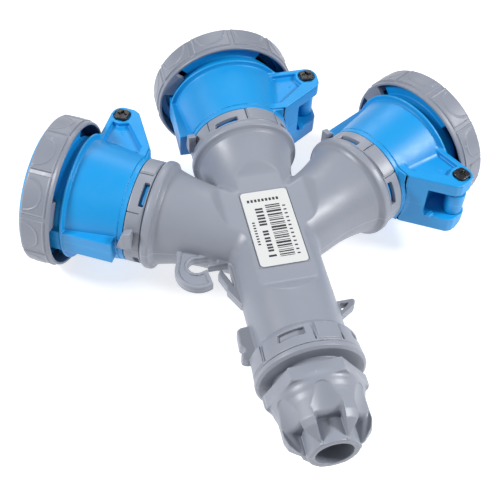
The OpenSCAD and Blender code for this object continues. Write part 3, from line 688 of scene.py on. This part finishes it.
def bare_metal(name, pale, deep, rough, scratch):
    """Metal with a drawn or turned skin: fine lines along the tool's path break
    its highlight, and handling leaves slightly duller patches."""
    made, tree, out = new_material(name)
    where = add(tree, "ShaderNodeTexCoord")
    lines = add(tree, "ShaderNodeMapping", None, {"Vector": (where, "Object")})
    lines.inputs["Scale"].default_value = (1, 1, 14)
    fine = add(tree, "ShaderNodeTexNoise", {"Scale": 1 / (scratch * mm), "Detail": 3.0},
               {"Vector": (lines, "Vector")})
    patch = add(tree, "ShaderNodeTexNoise", {"Scale": 1 / (5 * mm), "Detail": 3.0},
                {"Vector": (where, "Object")})
    tone = add(tree, "ShaderNodeMix", {"data_type": "RGBA"}, {"Factor": (patch, "Fac")})
    tone.inputs[6].default_value, tone.inputs[7].default_value = linear(pale), linear(deep)
    shine = add(tree, "ShaderNodeMapRange", {"To Min": rough - 0.08, "To Max": rough + 0.1},
                {"Value": (patch, "Fac")})
    bump = add(tree, "ShaderNodeBump", {"Strength": 0.2, "Distance": 0.02 * mm}, {"Height": (fine, "Fac")})
    shader = add(tree, "ShaderNodeBsdfPrincipled", {"Metallic": 1.0},
                 {"Base Color": (tone, 2), "Roughness": (shine, "Result"), "Normal": (bump, "Normal")})
    tree.links.new(shader.outputs[0], out.inputs[0])
    return made


spring_steel = bare_metal("drawn_spring_steel", "#c3c6ca", "#a3a7ad", 0.3, 0.6)
finish_node([f"spring_{side}" for side in sides], spring_steel, 0)


# ------------------------------------------------------- collars and seals
# Grey rings that lock the outlets to the necks: windows show the blue catches,
# two raised panels between slits spring over them, and a pointer marks the side
# away from the hinge. An O-ring under each keeps water out.

collar_shape = drawn([(28.85, 71.8), (31.4, 71.8), (31.8, 72.3), (31.8, 81.5), (31.4, 82), (28.85, 82)], 0.3)
pointer_shape = drawn([(75.4, 19), (75.4, 5), (81.9, 3), (81.9, 13.6), (80, 17)], 0.6)
pointer_tip = drawn([(80, 17), (79, 3.6), (81.9, 3), (85.2, 3), (82.6, 11)], 0.5)


def collar_field(x, y, z):
    r, turn = np.hypot(x, z), np.degrees(np.arctan2(z, x))
    ring = collar_shape(r, y)
    panel = both(both(beside(turn, 66.5, 17.5, 31, 180), abs(y - 77.2) - 4.5, 0.3), abs(r - 30.8) - 1.5, 0.3)
    slit = both(abs(beside(turn, 66.5, 19.6, 31, 180)) - 0.35, abs(y - 77.6) - 4.6, 0.1)
    slit = np.minimum(slit, both(abs(beside(turn, 133, 0, 31, 180)) - 0.3, abs(y - 78.5) - 4, 0.1))
    ring = cut(join(ring, panel, 0.2), both(slit, 30.6 - r, 0.1), 0.2)
    gaps = np.minimum(beside(turn, 26, 14, 30.5, 180), beside(turn, 111, 14, 30.5, 180))
    ring = cut(ring, both(gaps, abs(y - 74.6) - 1.8, 0.9), 0.3)
    wedge = both(pointer_shape(y, z), abs(x + 32.1) - 2.3, 0.5)
    tip = both(pointer_tip(y, z), abs(x + 33.5) - 0.9, 0.4)
    ring = join(ring, join(wedge, tip, 0.3), 0.4)
    return cut(ring, r - 28.85, 0.1)


collar_mesh = moulded("outlet_collar", collar_field, (-36, 70.5, -33.5), (33.5, 86.5, 33.5), 0.4)
for side in sides:
    piece(f"outlet_collar_{side}", collar_mesh, at_outlet(side), grey_polyamide, "base", "grey_shell",
          f"collar_{side}")
finish_node([f"neck_seal_{side}" for side in sides], nitrile_rubber, 0)


# ------------------------------------------------------ carriers and contacts
# A cream thermoset face plate and sleeves hold three slit brass sockets in each
# nose. Their zinc-plated clamp screws hold the conductors.

# its rim colour is a painted highlight on the plate's edges
cream_thermoset = moulded_polyamide("cream_moulded_thermoset", "#dcd8c9", "#cfcaba", 0.4, 0.5, rim="#ece8dc",
                                    edge_highlight_share=0.2)
turned_brass = bare_metal("turned_brass", "#d9b974", "#c09a52", 0.26, 0.5)
plated_zinc = bare_metal("zinc_plated_steel", "#c9ccce", "#adb1b3", 0.34, 0.5)
finish_node([f"{kind}_{side}" for kind in ("insert", "sleeves") for side in sides], cream_thermoset, 0.25)
finish_node([f"contacts_{side}" for side in sides], turned_brass, 0.1)
finish_node([f"screws_{side}" for side in sides], plated_zinc, 0.1)


# ------------------------------------------------------------------- wiring
# Nine insulated conductors fan out from a screw terminal block in the trunk to
# the contacts: brown line, blue neutral, and earth in green and yellow.


def insulation(name, base, stripe=None):
    """Extruded PVC insulation: smooth and slightly waxy, with a faint ripple left
    by the die, and a second colour in bands where it marks the earth."""
    made, tree, out = new_material(name)
    where = add(tree, "ShaderNodeTexCoord")
    ripple = add(tree, "ShaderNodeTexNoise", {"Scale": 1 / (3 * mm), "Detail": 2.0},
                 {"Vector": (where, "Object")})
    bands = add(tree, "ShaderNodeTexWave", {"Scale": 1 / (20 * mm), "Distortion": 0.4},
                {"Vector": (where, "Object")})
    edge = add(tree, "ShaderNodeMapRange", {"From Min": 0.45, "From Max": 0.55}, {"Value": (bands, "Fac")})
    tone = add(tree, "ShaderNodeMix", {"data_type": "RGBA"}, {"Factor": (edge if stripe else ripple, 0)})
    tone.inputs[6].default_value = linear(base)
    tone.inputs[7].default_value = linear(stripe) if stripe else [0.85 * c for c in linear(base)[:3]] + [1]
    bump = add(tree, "ShaderNodeBump", {"Strength": 0.1, "Distance": 0.05 * mm}, {"Height": (ripple, "Fac")})
    shader = add(tree, "ShaderNodeBsdfPrincipled", {"Roughness": 0.35, "IOR": 1.53},
                 {"Base Color": (tone, 2), "Normal": (bump, "Normal")})
    tree.links.new(shader.outputs[0], out.inputs[0])
    return made


finish_node(["wires_line"], insulation("brown_pvc_insulation", "#6b4126"), 0)
finish_node(["wires_neutral"], insulation("blue_pvc_insulation", "#2f62b5"), 0)
finish_node(["wires_earth"], insulation("green_yellow_pvc_insulation", "#3f9142", "#e3cf35"), 0)
finish_node(["terminal_block"], cream_thermoset, 0.4)
finish_node(["block_bars"], turned_brass, 0.2)
finish_node(["block_screws"], plated_zinc, 0.1)


# -------------------------------------------------------------- cable gland
# A grey gland body clicks into the trunk. Its nut squeezes a rubber seal round
# the cable through a thrust ring; deep hollows between six ribs give it grip.

gland_shape = drawn([(-9, 81), (28.3, 81), (28.3, 92.8), (31.5, 92.8), (31.5, 95.6), (29.9, 97), (22.5, 97),
                     (22.5, 107.5), (-9, 107.5)], 0.3)
gland_hollow = drawn([(-9, 70), (24.5, 70), (24.5, 84), (11, 86), (11, 88), (16, 88), (16, 120),
                      (-9, 120)], 0.2)


def gland_field(x, y, z):
    u, r, turn = -y, np.hypot(x, z), np.degrees(np.arctan2(z, x))
    body = gland_shape(r, u)
    catch = np.minimum(beside(turn, 26, 13, 29, 180), beside(turn, 111, 13, 29, 180))
    catch = both(both(catch, abs(u - 85.2) - 0.7, 0.4), abs(r - 27.2) - 1.3, 0.3)
    body = cut(join(body, catch, 0.2), gland_hollow(r, u), 0.3)
    return cut(body, both(abs(u - 89.2) - 1.2, 27.1 - r, 0.1), 0.1)


gland_mesh = moulded("gland_body_moulding", gland_field, (-33, -109, -33), (33, -79, 33), 0.55)
piece("gland_body_moulding", gland_mesh, at_hub, grey_polyamide, "base", "grey_shell", "gland_body")
finish_node(["gland_o_ring", "gland_seal", "thrust_ring"], nitrile_rubber, 0)

nut_shape = drawn([(-9, 103), (22, 103), (25.4, 109), (26.1, 111), (25.6, 113.5), (24.8, 116), (24.4, 119),
                   (24.4, 130), (22.8, 134.5), (17.4, 140), (14.2, 141.6), (14.2, 142.7), (13.8, 143.1),
                   (-9, 143.1)], 0.8)
nut_bore = drawn([(-9, 90), (22.55, 90), (22.55, 112.3), (15.6, 112.3), (15.6, 126), (10.7, 126), (10.7, 160),
                  (-9, 160)], 0.2)
spoon_edge = drawn([(8.7 * math.sin(t), 124.5 - 11.7 * math.cos(t) ** 1.25)
                    for t in np.linspace(-math.pi / 2, math.pi / 2, 21)] + [(7, 136), (7, 160), (-7, 160),
                                                                           (-7, 136)], 0.5)
hex_turn = 4.3
pip_radius = 28.6
pip_turn = math.radians(hex_turn + 120)


def nut_field(x, y, z):
    u, r = -y, np.hypot(x, z)
    turn = np.degrees(np.arctan2(z, x)) - hex_turn
    middle = np.radians(turn % 60 - 30)
    across, out = r * np.sin(middle), r * np.cos(middle)
    hexagon = both(both(out - 25.37, abs(u - 105.6) - 4.2, 0.5), (r - 29.0 + (u - 109) * 0.9) * 0.74, 0.4)
    from_pip = np.hypot(x - pip_radius * math.cos(pip_turn), z - pip_radius * math.sin(pip_turn))
    pip = np.hypot(from_pip, u - 102.2) - 0.9
    body = join(join(hexagon, nut_shape(r, u), 2.0), both(pip, 101.4 - u, 0.1), 0.3)
    # between the ribs: a spoon-shaped floor that slants in, then a deep well
    floor = 25.2 - (u - 112.6) * 0.40 + 0.03 * across**2
    spoon = both(spoon_edge(across, u), (floor - out) * 0.9, 0.5)
    well = both(both(abs(across) - 6.9, 128.6 - u, 1.2), 14.2 - r, 0.8)
    body = cut(body, join(spoon, well, 2.2), 0.45)
    tube = both(r - 14.2, abs(u - 134.5) - 8.6, 0.5)
    nubs = both(both(beside(turn, 0, 5, 14, 60), abs(u - 141.6) - 1.2, 0.3), r - 14.9, 0.3)
    return cut(join(body, join(tube, nubs, 0.3), 0.6), nut_bore(r, u), 0.4)


nut_mesh = moulded("gland_nut_moulding", nut_field, (-31, -144, -31), (31, -100.5, 31), 0.5)
piece("gland_nut_moulding", nut_mesh, at_hub, grey_polyamide, "nut_body", "grey_shell", "gland_nut")


# -------------------------------------------------------------------- stage
# The part lies on a pale acrylic light table, lit by a small soft box on each side
# and a weak one from behind, and seen from above the gland.

floor_height = cad_low.z - 0.1 * mm
floor_corners = [(x, y, floor_height) for x, y in ((-4, -4), (4, -4), (4, 4), (-4, 4))]
floor_mesh = bpy.data.meshes.new("floor")
floor_mesh.from_pydata(floor_corners, [], [(0, 1, 2, 3)])
floor = bpy.data.objects.new("floor", floor_mesh)
bpy.context.scene.collection.objects.link(floor)
white_acrylic, tree, out = new_material("white_light_table")
where = add(tree, "ShaderNodeTexCoord")
grain = add(tree, "ShaderNodeTexNoise", {"Scale": 1 / (80 * mm)}, {"Vector": (where, "Object")})
tone = add(tree, "ShaderNodeMix", {"data_type": "RGBA"}, {"Factor": (grain, "Fac")})
tone.inputs[6].default_value, tone.inputs[7].default_value = linear("#bcbcbe"), linear("#c4c4c5")
shader = add(tree, "ShaderNodeBsdfPrincipled", {"Roughness": 0.9, "Emission Strength": 0.68,
                                                "Emission Color": (1, 1, 1, 1)}, {"Base Color": (tone, 2)})
tree.links.new(shader.outputs[0], out.inputs[0])
floor_mesh.materials.append(white_acrylic)

bpy.context.scene.view_settings.view_transform = "Standard"
world = bpy.data.worlds.new("studio")
bpy.context.scene.world = world
world.use_nodes = True
backdrop = world.node_tree.nodes["Background"]
backdrop.inputs["Color"].default_value = (1, 1, 1, 1)
backdrop.inputs["Strength"].default_value = 0.3


def softbox(name, place, size, power):
    """Rectangular soft light aimed at the middle of the part."""
    light = bpy.data.lights.new(name, "AREA")
    light.shape = "RECTANGLE"
    light.size, light.size_y = size
    light.energy = power
    made = bpy.data.objects.new(name, light)
    bpy.context.scene.collection.objects.link(made)
    made.location = hub + Vector(place)
    made.rotation_euler = (-Vector(place)).to_track_quat("-Z", "Y").to_euler()


softbox("left_light", (-0.85, 0.1, 0.7), (0.24, 0.18), 9.5)
softbox("right_light", (0.75, -0.25, 0.68), (0.24, 0.18), 9)
softbox("rear_light", (0.1, 0.9, 0.6), (0.5, 0.25), 2)

camera_distance = 638.247 * mm
azimuth, elevation, roll = math.radians(-16.321), math.radians(52.291), math.radians(4.025)
target = hub + Vector((-12.971, -3.69, 0)) * mm
back = Vector((math.sin(azimuth) * math.cos(elevation), -math.cos(azimuth) * math.cos(elevation),
               math.sin(elevation)))
across = (-back).cross(Vector((0, 0, 1))).normalized()
upward = across.cross(-back)
turned_across = across * math.cos(roll) + upward * math.sin(roll)
turned_up = upward * math.cos(roll) - across * math.sin(roll)
camera = bpy.data.objects.new("camera", bpy.data.cameras.new("camera"))
camera.data.sensor_width = 36
camera.data.lens = 77.08
bpy.context.scene.collection.objects.link(camera)
camera.matrix_world = (Matrix.Translation(target + back * camera_distance)
                       @ Matrix((turned_across, turned_up, back)).transposed().to_4x4())
bpy.context.scene.camera = camera
